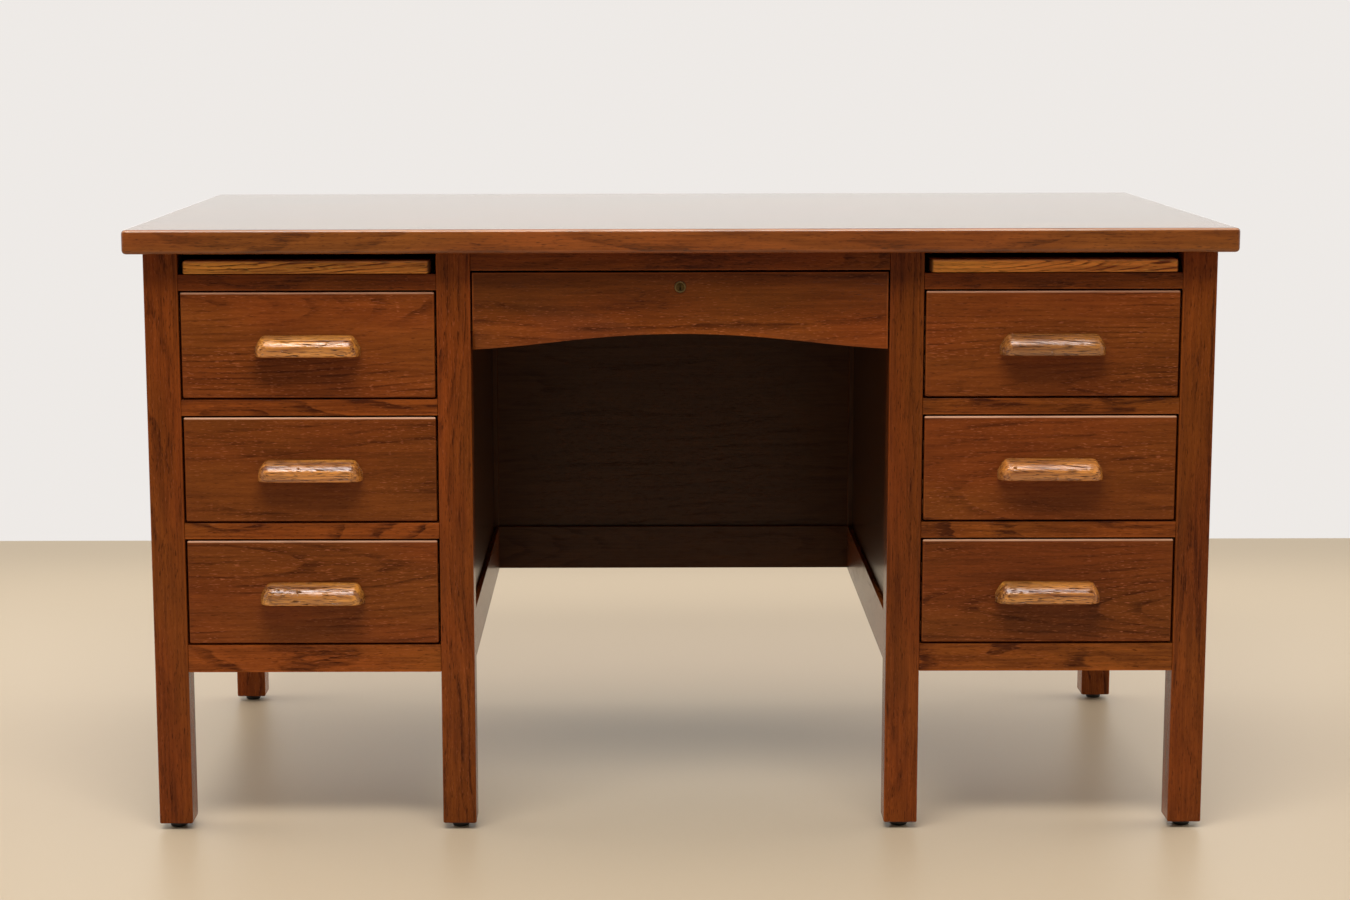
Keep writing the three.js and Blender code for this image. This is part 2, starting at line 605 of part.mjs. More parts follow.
function makeRunners() {
  for (const [side, sign] of SIDES) {
    const panelFace = sign * (PEDESTAL_CENTRE - PANEL_OUTER);
    place(`centre_drawer_runner_${side}`, block(panelFace, panelFace - sign * RUNNER_WIDTH,
      FRONT_LEG_BACK, BACK_FRAME, RUNNER_TOP - RUNNER_HEIGHT, RUNNER_TOP), 'bare_wood');
  }
}

// The plug's crank pin stands in a level slot of the bolt. It swings from 45 degrees below the plug's axis
// to 45 degrees above it in the quarter turn of the key, and carries the bolt up by BOLT_TRAVEL.
function makeLock() {
  const pinOffset = BOLT_TRAVEL / 2;
  const swing = pinOffset * Math.SQRT2;
  const pinHeight = LOCK_HEIGHT - pinOffset;
  const plugRear = BOLT_FRONT - 2 * FIT;
  const plug = toSolid(rodAlongY(PLUG_RADIUS, 0, FACE - PLUG_PROJECTION, plugRear, LOCK_HEIGHT));
  const pin = toSolid(rodAlongY(CRANK_PIN_RADIUS, pinOffset, plugRear - 1, BOLT_BACK - FIT, pinHeight));
  const keySlot = block(-KEY_SLOT_HALF_WIDTH, KEY_SLOT_HALF_WIDTH, FACE - 2, FACE + KEY_SLOT_DEPTH,
    LOCK_HEIGHT - KEY_SLOT_HALF_HEIGHT, LOCK_HEIGHT + KEY_SLOT_HALF_HEIGHT);
  place('lock_plug', cut(plug.add(pin), [keySlot]), 'aged_brass');

  const pinRoom = CRANK_PIN_RADIUS + FIT;
  const bolt = block(-BOLT_HALF_WIDTH, BOLT_HALF_WIDTH, BOLT_FRONT, BOLT_BACK,
    BOLT_TOP - BOLT_LENGTH, BOLT_TOP);
  const pinSlot = block(pinOffset - pinRoom, swing + pinRoom, BOLT_FRONT - 1, BOLT_BACK + 1,
    pinHeight - pinRoom, pinHeight + pinRoom);
  place('lock_bolt', cut(bolt, [pinSlot]), 'aged_brass');
}

makeDesktop();
makeLegs();
makeSideFrames();
makeBack();
makeRearPosts();
makeDividers();
makeWritingBoards();
makePedestalDrawers();
makeApron();
makeCentreDrawer();
makeRunners();
makeLock();

export default desk;
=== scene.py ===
"""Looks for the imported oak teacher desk: finer pieces, varnished oak, studio and camera. Metres, +Z up."""
import math
import random

import bmesh
import bpy
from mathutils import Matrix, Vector


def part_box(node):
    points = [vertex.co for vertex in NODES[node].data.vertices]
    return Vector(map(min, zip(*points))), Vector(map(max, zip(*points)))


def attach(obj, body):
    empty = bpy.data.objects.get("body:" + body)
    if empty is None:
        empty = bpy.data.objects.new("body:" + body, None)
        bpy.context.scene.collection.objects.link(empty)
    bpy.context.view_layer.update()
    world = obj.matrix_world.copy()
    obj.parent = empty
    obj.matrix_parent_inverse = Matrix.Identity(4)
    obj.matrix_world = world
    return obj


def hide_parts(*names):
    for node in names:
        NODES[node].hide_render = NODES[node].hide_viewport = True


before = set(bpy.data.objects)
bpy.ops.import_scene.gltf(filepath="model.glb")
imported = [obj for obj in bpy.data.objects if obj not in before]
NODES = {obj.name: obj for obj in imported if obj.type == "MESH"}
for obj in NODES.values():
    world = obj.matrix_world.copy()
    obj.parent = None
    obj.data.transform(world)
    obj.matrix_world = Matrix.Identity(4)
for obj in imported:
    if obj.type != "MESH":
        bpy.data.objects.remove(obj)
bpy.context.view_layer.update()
SIDES = (("left", -1), ("right", 1))
LEVELS = ("upper", "middle", "lower")
seeds = random.Random(1937)


# ---- camera, floor and light ---------------------------------------------------------------------


def make_camera():
    """The photograph's viewpoint, as fitted to the desk's edges."""
    data = bpy.data.cameras.new("camera")
    data.sensor_width = 36
    data.lens = 70.613
    data.shift_x = 0.028653
    data.shift_y = 0.003261
    data.clip_end = 60
    camera = bpy.data.objects.new("camera", data)
    camera.location = (-0.05106, -3.62359, 0.99708)
    camera.rotation_euler = (1.415414, 0.002268, 0.000788)
    bpy.context.scene.collection.objects.link(camera)
    bpy.context.scene.camera = camera


def area_light(name, place, aim, size, power, spread=180, mirrored=True):
    """A softbox, not itself in view. spread is its cone in degrees; mirrored says if gloss reflects it."""
    data = bpy.data.lights.new(name, "AREA")
    data.spread = math.radians(spread)
    data.shape = "RECTANGLE"
    data.size, data.size_y = size
    data.energy = power
    light = bpy.data.objects.new(name, data)
    light.location = place
    light.rotation_euler = (Vector(aim) - Vector(place)).to_track_quat("-Z", "Y").to_euler()
    light.visible_camera = False
    light.visible_glossy = mirrored
    bpy.context.scene.collection.objects.link(light)


class Graph:
    """Short names for making and linking shader nodes."""

    def __init__(self, tree):
        self.tree = tree
        tree.nodes.clear()

    def node(self, kind, settings=None, **inputs):
        made = self.tree.nodes.new(kind)
        for key, value in (settings or {}).items():
            setattr(made, key, value)
        for key, value in inputs.items():
            self.put(made.inputs[key.replace("_", " ")], value)
        return made

    def put(self, socket, value):
        if isinstance(value, bpy.types.NodeSocket):
            self.tree.links.new(value, socket)
        else:
            socket.default_value = value

    def math(self, operation, a, b=None, clamp=False):
        made = self.node("ShaderNodeMath", {"operation": operation, "use_clamp": clamp})
        for socket, value in zip(made.inputs, (a, b)):
            if value is not None:
                self.put(socket, value)
        return made.outputs[0]

    def times(self, a, b):
        return self.math("MULTIPLY", a, b)

    def total(self, *values):
        result = values[0]
        for value in values[1:]:
            result = self.math("ADD", result, value)
        return result

    def vector(self, operation, a, b):
        made = self.node("ShaderNodeVectorMath", {"operation": operation})
        self.put(made.inputs[0], a)
        self.put(made.inputs[1], b)
        return made.outputs[0]

    def parts(self, vector):
        """A vector's X, Y and Z by name."""
        return self.node("ShaderNodeSeparateXYZ", None, Vector=vector).outputs

    def noise(self, vector, detail=2.0, roughness=0.5, scale=1.0):
        made = self.node("ShaderNodeTexNoise", None, Vector=vector, Scale=scale, Detail=detail,
                         Roughness=roughness)
        return made.outputs["Fac"]

    def remap(self, value, low, high, out_low=0.0, out_high=1.0):
        made = self.node("ShaderNodeMapRange", {"interpolation_type": "SMOOTHSTEP"})
        for socket, number in zip(made.inputs, (value, low, high, out_low, out_high)):
            self.put(socket, number)
        return made.outputs["Result"]

    def mix(self, factor, a, b, blend="MIX"):
        made = self.node("ShaderNodeMix", {"data_type": "RGBA", "blend_type": blend})
        factor_socket, a_socket, b_socket = made.inputs[0], made.inputs[6], made.inputs[7]
        self.put(factor_socket, factor)
        self.put(a_socket, a)
        self.put(b_socket, b)
        return made.outputs[2]

    def dim(self, colour, level):
        """A colour times a number, or times a socket that says it from place to place."""
        if isinstance(level, bpy.types.NodeSocket):
            grey = self.node("ShaderNodeCombineColor", None, Red=level, Green=level, Blue=level)
            return self.mix(1.0, colour, grey.outputs[0], "MULTIPLY")
        return self.mix(1.0, colour, (level, level, level, 1), "MULTIPLY")

    def finish(self, shader):
        output = self.node("ShaderNodeOutputMaterial")
        self.put(output.inputs["Surface"], shader.outputs[0])


def make_world():
    """A white room: bright walls behind and beside the desk, a dim room in front of it."""
    world = bpy.data.worlds.new("studio")
    world.use_nodes = True
    bpy.context.scene.world = world
    g = Graph(world.node_tree)
    toward = g.parts(g.node("ShaderNodeTexCoord").outputs["Generated"])
    behind = g.remap(toward["Y"], -0.45, 0.05)
    above = g.remap(toward["Z"], 0.2, 0.75)
    front = g.mix(above, (0.16, 0.154, 0.148, 1), (0.30, 0.288, 0.276, 1))
    higher = g.times(g.remap(toward["Z"], 0.02, 0.05), g.remap(toward["Z"], 0.30, 0.45, 1.0, 0.0))
    wall = g.mix(higher, (0.855, 0.823, 0.796, 1), (0.93, 0.965, 0.93, 1))
    colour = g.mix(behind, front, wall)
    background = g.node("ShaderNodeBackground", None, Color=colour, Strength=1.0)
    output = g.node("ShaderNodeOutputWorld")
    g.put(output.inputs["Surface"], background.outputs[0])


def make_floor():
    reach = 9
    wall_line = 1.63
    mesh = bpy.data.meshes.new("floor")
    corners = [(-reach, -reach, 0), (reach, -reach, 0), (reach, wall_line, 0), (-reach, wall_line, 0)]
    mesh.from_pydata(corners, [], [(0, 1, 2, 3)])
    floor = bpy.data.objects.new("floor", mesh)
    bpy.context.scene.collection.objects.link(floor)
    material = bpy.data.materials.new("floor_pale")
    material.use_nodes = True
    shader = material.node_tree.nodes["Principled BSDF"]
    shader.inputs["Base Color"].default_value = (0.575, 0.455, 0.312, 1)
    shader.inputs["Roughness"].default_value = 0.42
    shader.inputs["IOR"].default_value = 1.2
    mesh.materials.append(material)


def set_studio():
    make_camera()
    make_world()
    make_floor()
    area_light("key_softbox", (-0.25, -1.65, 3.05), (0, -0.2, 0.45), (2.6, 0.8), 70)
    area_light("top_softbox", (0.2, 0.4, 3.2), (0, 0.1, 0.7), (3.4, 2.0), 9)
    for side in (-1, 1):
        area_light("side_softbox", (side * 3.0, 0.35, 0.9), (0, 0.1, 0.05), (1.6, 1.2), 7.5, 100,
                   mirrored=False)
    area_light("back_fill", (0, 1.5, 0.55), (0, 0, 0), (2.8, 0.5), 2.8, 120)
    view = bpy.context.scene.view_settings
    view.view_transform = "Standard"
    view.look = "None"


# ---- oak -------------------------------------------------------------------------------------------


GRAIN_OUTPUTS = ("Early", "Ring Tone", "Pores", "Specks", "Fibre", "Streak", "Cloud", "Hue")


def make_grain_group():
    """Growth rings, pores, pale specks for painted varnish glints, fibre, golden streaks and slow stain
    clouds of one board, from its own coordinates in metres: X along the grain, Y across the face, Z into the
    board."""
    tree = bpy.data.node_groups.new("board_grain", "ShaderNodeTree")
    face = tree.interface
    face.new_socket("Board", in_out="INPUT", socket_type="NodeSocketVector")
    for name in ("Heart Across", "Heart Depth", "Taper", "Ring"):
        face.new_socket(name, in_out="INPUT", socket_type="NodeSocketFloat")
    for name in GRAIN_OUTPUTS:
        face.new_socket(name, in_out="OUTPUT", socket_type="NodeSocketFloat")
    g = Graph(tree)
    given = g.node("NodeGroupInput").outputs

    def stretched(along, across):
        """Noise coordinates with so many cells to the metre along and across the grain."""
        return g.vector("MULTIPLY", given["Board"], (along, across, across))

    def sway(along, across, detail, size):
        """A slow wander of the rings, size metres from end to end."""
        return g.times(g.math("SUBTRACT", g.noise(stretched(along, across), detail), 0.5), size)

    board = g.parts(given["Board"])
    across = g.math("SUBTRACT", board["Y"], given["Heart Across"])
    depth = g.total(board["Z"], given["Heart Depth"], g.times(board["X"], given["Taper"]))
    radius = g.math("SQRT", g.total(g.times(across, across), g.times(depth, depth)))
    swayed = g.total(radius, sway(2.2, 5.0, 1.5, 0.060), sway(14, 60, 2, 0.0045))
    rings = g.math("DIVIDE", swayed, given["Ring"])
    phase = g.math("FRACT", rings)
    porous = g.math("ADD", g.remap(phase, 0.05, 0.42, 1.0, 0.0), g.remap(phase, 0.94, 1.0), clamp=True)
    broken = g.remap(g.noise(stretched(26, 190), 2), 0.36, 0.60, 0.25, 1.0)
    patch = g.remap(g.noise(stretched(4.0, 15), 1.5), 0.36, 0.60, 0.25, 1.0)
    early = g.times(g.times(porous, patch), broken)
    ring_number = g.math("FLOOR", rings)
    ring_tone = g.node("ShaderNodeTexWhiteNoise", {"noise_dimensions": "1D"}, W=ring_number)

    fine = g.total(g.noise(stretched(110, 1500), 1), g.times(early, 0.09))
    dashes = g.total(g.noise(stretched(75, 620), 1), g.times(early, 0.10))
    results = {
        "Early": early,
        "Ring Tone": ring_tone.outputs["Value"],
        "Pores": g.math("MAXIMUM", g.remap(fine, 0.62, 0.74), g.remap(dashes, 0.65, 0.77)),
        "Specks": g.times(g.remap(g.noise(stretched(120, 1000), 1), 0.62, 0.74), patch),
        "Fibre": g.noise(stretched(9, 330), 4, 0.7),
        "Streak": g.noise(stretched(11, 85), 2.5, 0.6),
        "Cloud": g.noise(stretched(2.4, 8), 3),
        "Hue": g.noise(g.vector("ADD", stretched(3.5, 12), (0, 0, 7.3)), 2),
    }
    output = g.node("NodeGroupOutput")
    for name in GRAIN_OUTPUTS:
        g.put(output.inputs[name], results[name])
    return tree


GRAIN = make_grain_group()

# Which frame axes a board's own coordinates follow: along the grain, across its face, into it.
GRAIN_AXES = {
    "rail": "XZY",
    "post": "ZXY",
    "runner": "YZX",
    "top": "XYZ",
    "leaf": "YXZ",
    "side_panel": "ZYX",
    "back_panel": "XZY",
}

# What a finish has unless it says otherwise: the contrast of its fibre and streaks (fine) and of its growth
# rings (figure), how dark its pores are (cracks), the strength and depth of its bump (relief, deep), how
# strong the pale specks of painted highlight for varnish glints at the pores are (specks), how far pores
# break the varnish (broken), and from how steep a turn end grain shows and how dark it is (end).
PLAIN = dict(fine=1.0, figure=1.0, cracks=0.75, relief=0.30, deep=1.0, specks=0.0, broken=0.0,
             end=(0.5, 0.62))

# Each finish: the colours of dark wood, light wood and pores, then the varnish's roughness and index of
# refraction.
STAINS = {
    "drawer": dict(PLAIN, dark=(0.097, 0.0192, 0.0022), light=(0.300, 0.073, 0.0105),
                   pore=(0.052, 0.011, 0.0018), rough=0.20, ior=1.25,
                   fine=0.72, figure=0.95, cracks=0.5, specks=0.50, broken=0.3),
    "frame": dict(PLAIN, dark=(0.083, 0.0153, 0.0014), light=(0.290, 0.065, 0.0072),
                  pore=(0.046, 0.009, 0.0012), rough=0.22, ior=1.25,
                  fine=0.85, figure=0.75, specks=0.20, broken=0.3),
    "rail": dict(PLAIN, dark=(0.078, 0.0150, 0.0014), light=(0.345, 0.086, 0.0100),
                 pore=(0.046, 0.009, 0.0012), rough=0.22, ior=1.25,
                 figure=1.7, specks=0.25, broken=0.3),
    "panel": dict(PLAIN, dark=(0.040, 0.0120, 0.0026), light=(0.080, 0.0270, 0.0060),
                  pore=(0.020, 0.007, 0.0018), rough=0.26, ior=1.28,
                  figure=0.5, relief=0.20),
    "top": dict(PLAIN, dark=(0.132, 0.031, 0.0024), light=(0.335, 0.092, 0.0120),
                pore=(0.072, 0.018, 0.0040), rough=0.12, ior=1.50,
                relief=0.05, end=(0.5, 0.50)),
    "board": dict(PLAIN, dark=(0.190, 0.043, 0.0060), light=(1.000, 0.400, 0.0680),
                  pore=(0.050, 0.013, 0.0020), rough=0.28, ior=1.33,
                  figure=1.6, relief=0.45, specks=0.25, broken=0.5, end=(0.2, 0.92)),
    "leaf": dict(PLAIN, dark=(0.105, 0.026, 0.0036), light=(0.440, 0.165, 0.0280),
                 pore=(0.050, 0.013, 0.0020), rough=0.28, ior=1.33,
                 fine=0.8, figure=0.9, broken=0.3, end=(0.2, 0.92)),
    "pull": dict(PLAIN, dark=(0.235, 0.066, 0.0095), light=(0.900, 0.362, 0.0560),
                 pore=(0.060, 0.015, 0.0030), rough=0.18, ior=1.85,
                 fine=2.0, figure=0.7, cracks=0.85, relief=1.0, deep=2.2, broken=0.85, end=(0.55, 0.30)),
    "bare": dict(PLAIN, dark=(0.330, 0.195, 0.085), light=(0.520, 0.340, 0.170),
                 pore=(0.200, 0.115, 0.050), end=(0.5, 0.35)),
}

REDDER, GOLDENER = (1.03, 0.94, 1.00, 1), (0.98, 1.05, 1.00, 1)
# Colour of the highlight painted along upper front arrises, in place of the light's reflection there.
PAINTED_HIGHLIGHT_COLOUR = (0.95, 0.55, 0.34, 1)
BUMP_DEPTH = 0.0006


def stain_colour(stain, key, level=1.0):
    return (*[c * level for c in STAINS[stain][key]], 1)


def board_grain(g, axis, ring, heart, taper, coarse):
    """The grain of one board, cut at random along its tree. axis holds the board's own coordinates."""
    board = g.node("ShaderNodeCombineXYZ", None, X=axis[0], Y=axis[1], Z=axis[2]).outputs[0]
    along, into = seeds.uniform(2, 90), seeds.uniform(0, 0.002)
    board = g.vector("ADD", board, (along, 0, into))
    if coarse != 1.0:
        board = g.vector("MULTIPLY", board, (1 / coarse, 1 / coarse, 1 / coarse))
    grain = g.node("ShaderNodeGroup", {"node_tree": GRAIN}, Board=board)
    grain.inputs["Heart Across"].default_value = heart[0] / coarse
    grain.inputs["Heart Depth"].default_value = (heart[1] - taper * along) / coarse
    grain.inputs["Taper"].default_value = taper
    grain.inputs["Ring"].default_value = ring / coarse
    return grain.outputs


def grain_shade(g, grain, finish):
    """From 0 for the darkest wood of a board to 1 for its lightest."""
    fibre = g.remap(grain["Fibre"], 0.30, 0.70, -0.5, 0.5)
    streak = g.remap(grain["Streak"], 0.30, 0.70, -0.5, 0.5)
    shade = g.total(
        g.times(grain["Early"], -0.46 * finish["figure"]),
        g.times(grain["Ring Tone"], 0.10 * finish["figure"]),
        g.times(fibre, 0.42 * finish["fine"]),
        g.times(streak, 0.34 * finish["fine"]),
        g.times(g.remap(grain["Cloud"], 0.25, 0.75), 0.26),
    )
    return g.math("ADD", shade, 0.36, clamp=True)


def wood_colour(g, grain, shade, stain, tone):
    """Stained wood with its drift of hue, its pores and specks of painted highlight standing for glints in
    the varnish.
    """
    finish = STAINS[stain]
    colour = g.mix(shade, stain_colour(stain, "dark", tone), stain_colour(stain, "light", tone))
    if stain != "bare":
        hue = g.mix(g.remap(grain["Hue"], 0.34, 0.66), REDDER, GOLDENER)
        colour = g.mix(1.0, colour, hue, "MULTIPLY")
    colour = g.mix(g.times(grain["Pores"], finish["cracks"]), colour, stain_colour(stain, "pore", tone))
    # Painted highlight: pale specks at the pores, in place of glints of light in the varnish.
    if finish["specks"]:
        painted_glint_colour = (*[min(1.0, c * 1.9 + 0.05) for c in finish["light"]], 1)
        colour = g.mix(g.times(grain["Specks"], finish["specks"]), colour, painted_glint_colour)
    return colour


def arris_wear(g, local, half, grain):
    """1 along the worn parts of a board's edges, 0 on its faces."""
    edge = [g.math("SUBTRACT", size, g.math("ABSOLUTE", local[axis])) for axis, size in zip("XYZ", half)]
    widest = g.math("MAXIMUM", g.math("MAXIMUM", edge[0], edge[1]), edge[2])
    to_arris = g.math("SUBTRACT", g.total(*edge), widest)
    return g.times(g.remap(to_arris, 0.0004, 0.0026, 1.0, 0.0), g.remap(grain["Cloud"], 0.3, 0.6, 0.4, 1.0))


def oak(name, stain, axes, low, high, ring=0.006, heart=(0.0, 0.08), taper=0.06, tone=1.0, low_tone=None,
        wear=0.30, glint=0.0, painted_top_shade=1.0, coarse=1.0, dark_inside=None, bare_behind=None,
        gap_shade_before=None):
    """A board's material. low and high are the board's corners, ring is its ring spacing and heart the
    tree's middle seen from the board's own middle. wear lightens its arrises, and glint paints a pale
    highlight along the upper front one. low_tone is the tone at its foot, rising from tone higher up:
    painted shade that darkens the board towards its top. painted_top_shade darkens faces turned up as
    painted shade, and coarse enlarges the grain. dark_inside names a side, such as "-Y", whose faces take
    the dark panel stain as painted shade of the desk's inside; behind the plane y = bare_behind the wood is
    unvarnished, and before y = gap_shade_before bare wood takes some of the drawer's stain as painted shade
    of the gap beside the front."""
    finish = STAINS[stain]
    low, high = Vector(low), Vector(high)
    centre, half = (low + high) / 2, (high - low) / 2
    material = bpy.data.materials.new(name)
    material.use_nodes = True
    g = Graph(material.node_tree)
    coordinate = g.node("ShaderNodeTexCoord").outputs
    local = g.parts(g.vector("SUBTRACT", coordinate["Object"], tuple(centre)))
    normal = g.parts(coordinate["Normal"])
    grain = board_grain(g, [local[axis] for axis in GRAIN_AXES[axes]], ring, heart, taper, coarse)
    shade = grain_shade(g, grain, finish)

    colour = wood_colour(g, grain, shade, stain, 1.0 if low_tone else tone)
    # Painted shade: the tone rises from tone higher up to low_tone at the foot, darker under the desktop's
    # overhang.
    if low_tone:
        ragged = g.times(g.math("SUBTRACT", grain["Cloud"], 0.5), 0.04)
        height = g.math("ADD", local["Z"], ragged)
        colour = g.dim(colour, g.remap(height, half.z * 0.15, -half.z * 0.8, tone, low_tone))
    # Painted shade: faces turned up are darkened by painted_top_shade, to hold back the strong light from
    # above.
    if painted_top_shade != 1.0:
        turned_up = g.remap(normal["Z"], 0.70, 0.95)
        colour = g.mix(turned_up, colour, g.dim(colour, painted_top_shade))
    worn = arris_wear(g, local, half, grain)
    colour = g.mix(g.times(worn, wear), colour, stain_colour(stain, "light", 1.7))
    # Painted highlight: a pale strip of colour along the upper front arris, in place of the light's
    # reflection on it.
    if glint:
        upper = g.remap(local["Z"], half.z - 0.0030, half.z - 0.0016)
        front = g.remap(local["Y"], -half.y + 0.0036, -half.y + 0.0016)
        highlight_strip = g.times(g.times(upper, front), glint)
        colour = g.mix(g.times(highlight_strip, g.remap(grain["Fibre"], 0.3, 0.6, 0.6, 1.0)), colour, PAINTED_HIGHLIGHT_COLOUR)

    end_from, end_dark = finish["end"]
    end_grain = g.math("ABSOLUTE", normal[GRAIN_AXES[axes][0]])
    end_share = g.remap(end_grain, end_from, end_from + 0.45, 0.0, end_dark)
    colour = g.mix(end_share, colour, stain_colour(stain, "pore", tone))

    def restained(share, other):
        plain = g.mix(shade, stain_colour(other, "dark"), stain_colour(other, "light"))
        return g.mix(share, colour, plain)

    coat = g.math("SUBTRACT", 1.0, g.times(grain["Pores"], finish["broken"]))
    # Painted shade: faces turned to the side that dark_inside names, into the desk, take the dark panel
    # stain.
    if dark_inside:
        facing = g.times(normal[dark_inside[1]], 1 if dark_inside[0] == "+" else -1)
        colour = restained(g.remap(facing, 0.3, 0.7), "panel")
    if bare_behind is not None:
        behind = g.remap(local["Y"], bare_behind - centre.y, bare_behind - centre.y + 0.0005)
        colour = restained(behind, "bare")
        coat = g.times(coat, g.math("SUBTRACT", 1.0, behind))
    # Painted shade: bare wood before gap_shade_before takes 75 % of the drawer's stain, for the shade in the
    # narrow gap beside the drawer front.
    if gap_shade_before is not None:
        before = g.remap(local["Y"], gap_shade_before - centre.y + 0.0004, gap_shade_before - centre.y)
        colour = restained(g.times(before, 0.75), "drawer")

    roughness = g.total(g.times(grain["Pores"], 0.25), g.times(grain["Cloud"], 0.10), 0.5)
    bump = g.node("ShaderNodeBump", None,
                  Height=g.math("SUBTRACT", g.times(grain["Fibre"], 0.35), grain["Pores"]),
                  Strength=finish["relief"], Distance=BUMP_DEPTH * coarse ** 2 * finish["deep"]).outputs[0]
    settings = {"Base_Color": colour, "Roughness": roughness, "Normal": bump, "IOR": 1.3}
    if stain != "bare":
        settings.update(IOR=1.1, Coat_Weight=coat, Coat_Roughness=finish["rough"], Coat_IOR=finish["ior"],
                        Coat_Normal=bump)
    g.finish(g.node("ShaderNodeBsdfPrincipled", None, **settings))
    return material


def metal(name, colour, rough, metallic):
    """A metal or enamel with a little grime."""
    material = bpy.data.materials.new(name)
    material.use_nodes = True
    g = Graph(material.node_tree)
    grime = g.noise(g.node("ShaderNodeTexCoord").outputs["Object"], 4, 0.6, 160)
    tint = g.mix(g.remap(grime, 0.35, 0.7), (*colour, 1), (*[c * 0.45 for c in colour], 1))
    roughness = g.remap(grime, 0.3, 0.7, rough - 0.1, rough + 0.15)
    g.finish(g.node("ShaderNodeBsdfPrincipled", None, Base_Color=tint, Roughness=roughness,
                    Metallic=metallic))
    return material


BLACK = metal("glide_black", (0.012, 0.011, 0.010), 0.4, 0.0)
BRASS = metal("lock_brass", (0.13, 0.082, 0.030), 0.45, 1.0)
RUBBED_BRASS = metal("lock_ring_brass", (0.26, 0.175, 0.075), 0.38, 1.0)
STEEL = metal("screw_steel", (0.30, 0.29, 0.27), 0.4, 1.0)


# ---- mesh helpers ------------------------------------------------------------------------------------


def corners_of(node):
    """A CAD node's lowest and highest corner."""
    return [Vector(corner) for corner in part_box(node)]


def add_object(name, mesh, body, nodes, material):
    piece = bpy.data.objects.new(name, mesh)
    bpy.context.scene.collection.objects.link(piece)
    mesh.materials.clear()
    mesh.materials.append(material)
    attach(piece, body)
    if nodes:
        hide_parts(*nodes)
    return piece


def smooth(piece):
    for polygon in piece.data.polygons:
        polygon.use_smooth = True
    weighted = piece.modifiers.new("weighted_normals", "WEIGHTED_NORMAL")
    weighted.keep_sharp = True


def mesh_from(form, name):
    mesh = bpy.data.meshes.new(name)
    form.to_mesh(mesh)
    form.free()
    return mesh


def block_mesh(low, high, ease=0.002, segments=3, bevels=()):
    """A block between two corners with rounded edges. bevels lists (edge test, radius) pairs done first."""
    low, high = Vector(low), Vector(high)
    form = bmesh.new()
    bmesh.ops.create_cube(form, size=1.0)
    bmesh.ops.scale(form, vec=high - low, verts=form.verts)
    bmesh.ops.translate(form, vec=(low + high) / 2, verts=form.verts)
    for test, radius in bevels:
        chosen = [e for e in form.edges if test(e)]
        bmesh.ops.bevel(form, geom=chosen, offset=radius, segments=5, profile=0.5, affect="EDGES")
    if ease > 0:
        sharp = [e for e in form.edges if e.calc_face_angle(0) > 0.7]
        bmesh.ops.bevel(form, geom=sharp, offset=ease, segments=segments, profile=0.5, affect="EDGES")
    return mesh_from(form, "block")


def vertical(edge):
    a, b = (v.co for v in edge.verts)
    return abs(a.z - b.z) > abs(a.x - b.x) + abs(a.y - b.y)


def wooden_block(name, low, high, body, nodes, slot, stain, axes, ease=0.0018, bevels=(), **figure):
    material = oak(name + "_wood", stain, axes, low, high, **figure)
    smooth(add_object(name, block_mesh(low, high, ease, 3, bevels), body, nodes, material))


def carry_over(node, stain, axes, ease=0.0012, **figure):
    """Keeps a CAD node, softens its edges and gives it its own board."""
    piece = NODES[node]
    low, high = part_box(node)
    piece.data.materials.clear()
    piece.data.materials.append(oak(node + "_wood", stain, axes, low, high, **figure))
    merge = 1e-5
    piece.modifiers.new("weld", "WELD").merge_threshold = merge
    bevel = piece.modifiers.new("ease", "BEVEL")
    bevel.width = ease
    bevel.segments = 2
    bevel.limit_method = "ANGLE"
    bevel.angle_limit = math.radians(50)
    piece.modifiers.new("rejoin", "WELD").merge_threshold = merge
    smooth(piece)


def skin(form, rings):
    """Faces between each ring of vertices and the next."""
    for one, two in zip(rings, rings[1:]):
        for index in range(len(one)):
            after = (index + 1) % len(one)
            form.faces.new((one[index], one[after], two[after], two[index]))


def lathe_mesh(profile, segments=40):
    """A turned shape about the Z axis, from (radius, height) pairs. A radius of 0 closes it in a point."""
    form = bmesh.new()
    rings = []
    for radius, height in profile:
        steps = segments if radius else 1
        angles = [2 * math.pi * step / segments for step in range(steps)]
        rings.append([form.verts.new((radius * math.cos(a), radius * math.sin(a), height)) for a in angles])
    for lower, upper in zip(rings, rings[1:]):
        for step in range(segments):
            after = (step + 1) % segments
            quad = [lower[step % len(lower)], lower[after % len(lower)],
                    upper[after % len(upper)], upper[step % len(upper)]]
            corners = list(dict.fromkeys(quad))
            if len(corners) > 2:
                form.faces.new(corners)
    bmesh.ops.recalc_face_normals(form, faces=form.faces)
    return mesh_from(form, "turned")


def moved(mesh, place, change=lambda x, y, z: (x, y, z)):
    """The mesh with each vertex turned by change and then carried to place."""
    for vertex in mesh.vertices:
        vertex.co = Vector(place) + Vector(change(*vertex.co))
    return mesh


def joined(parts):
    """One mesh out of several."""
    form = bmesh.new()
    for part in parts:
        form.from_mesh(part)
        bpy.data.meshes.remove(part)
    return mesh_from(form, "joined")


# ---- desktop, legs and frame ---------------------------------------------------------------------------


def random_heart(spread=0.04, near=0.03, far=0.08):
    return (seeds.uniform(-spread, spread), seeds.uniform(near, far))


def make_desktop():
    low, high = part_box("desktop")
    wooden_block("desktop_slab", low, high, "root", ["desktop"], "desktop_oak", "top", "top", ease=0.0048,
                 bevels=[(vertical, 0.006)], ring=0.011, heart=(0.03, 0.10), taper=0.03, wear=0.08,
                 glint=0.55)


LEG_TONE = 0.98
